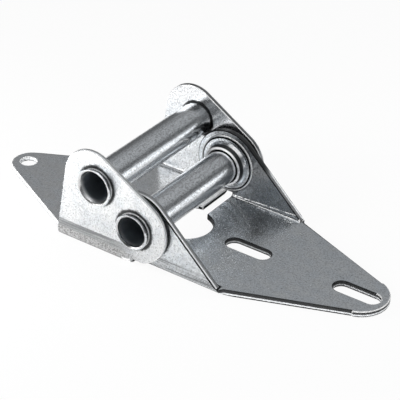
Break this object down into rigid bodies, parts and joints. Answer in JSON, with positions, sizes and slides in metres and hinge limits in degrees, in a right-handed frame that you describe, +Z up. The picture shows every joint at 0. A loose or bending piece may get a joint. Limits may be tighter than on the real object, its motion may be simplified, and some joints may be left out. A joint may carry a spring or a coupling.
{
  "type": "garage door hinge",
  "caption": "Sheet-steel hinge for a sectional garage door: tapered leaves with upright ears turn on a flared tube, and another tube beside it takes a roller stem.",
  "frame": {"origin": "on the pivot tube's axis, halfway between the ears", "axes": "+X along the hinge towards the slotted swing leaf, +Y along the tubes, +Z up from the door's face"},
  "size_m": [0.1812, 0.0746, 0.0444],
  "materials": {
    "carrier_steel": "galvanised sheet, semi-bright, sheared edges",
    "swing_steel": "galvanised sheet, semi-bright, sheared edges",
    "tube_steel": "galvanised rolled tube, drawn along its length"
  },
  "bodies": {
    "carrier": {"carrier_leaf": "carrier_steel", "pivot_tube": "tube_steel", "roller_tube": "tube_steel"},
    "swing": {"swing_leaf": "swing_steel"}
  },
  "joints": [
    {"name": "pivot", "type": "hinge", "parent": "carrier", "child": "swing", "pos_m": [0, 0, 0], "axis": [0, -1, 0], "range_deg": [-15, 105]}
  ]
}
